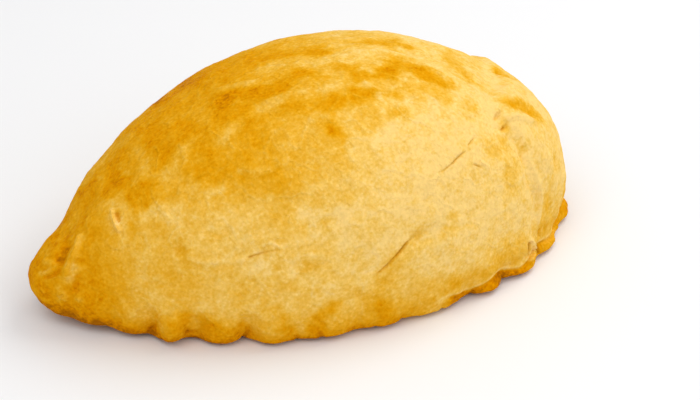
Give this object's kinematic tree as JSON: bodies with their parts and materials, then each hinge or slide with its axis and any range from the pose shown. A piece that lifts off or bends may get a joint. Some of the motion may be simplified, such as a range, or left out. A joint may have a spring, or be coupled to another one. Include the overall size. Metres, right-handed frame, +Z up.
{
  "type": "meat pie",
  "caption": "Hand-shaped baked pie filled with meat: a tall smooth loaf of golden crust, pinched to a blunt nose at one end and crimped along its foot.",
  "frame": {"origin": "middle of the pie's outline seen from above, on the table it lies on", "axes": "+X from the pinched nose to the round end, along the pie's length; +Z up from the table; the crimped front faces -Y"},
  "size_m": [0.1532, 0.0968, 0.0549],
  "materials": {
    "baked_crust": "satin"
  },
  "bodies": {
    "root": {"pie": "baked_crust"}
  },
  "joints": []
}
